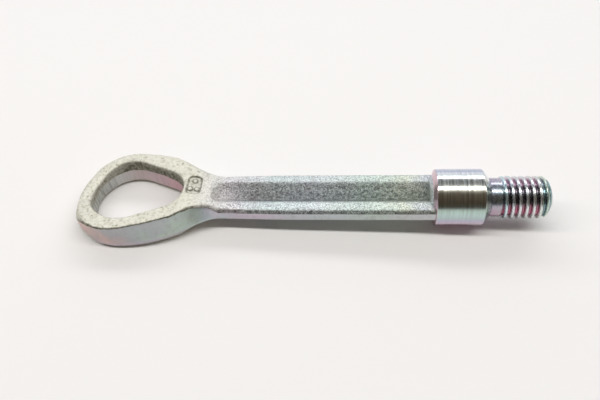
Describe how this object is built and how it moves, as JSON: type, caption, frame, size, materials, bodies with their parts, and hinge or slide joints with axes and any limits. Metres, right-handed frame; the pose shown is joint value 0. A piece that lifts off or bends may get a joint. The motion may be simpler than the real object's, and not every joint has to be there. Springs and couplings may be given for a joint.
{
  "type": "screw-in towing eye bolt",
  "caption": "Forged steel towing eye on a flat H-section shank with a turned collar and a coarse external thread for a vehicle's towing socket.",
  "frame": {"origin": "on the bolt's axis, where the collar's seating chamfer ends and the plain neck begins", "axes": "+X along the axis towards the threaded tip, +Z square to the flat of the eye, +Y across the eye"},
  "size_m": [0.2042, 0.046, 0.0238],
  "materials": {
    "forged_plated_steel": "shot-blasted forging, zinc plated and blue passivated",
    "turned_plated_steel": "turned and threaded, zinc plated and blue passivated"
  },
  "bodies": {
    "root": {"eye_ring": "forged_plated_steel", "eye_throat": "forged_plated_steel", "shank": "forged_plated_steel", "collar": "turned_plated_steel", "threaded_end": "turned_plated_steel"}
  },
  "joints": []
}
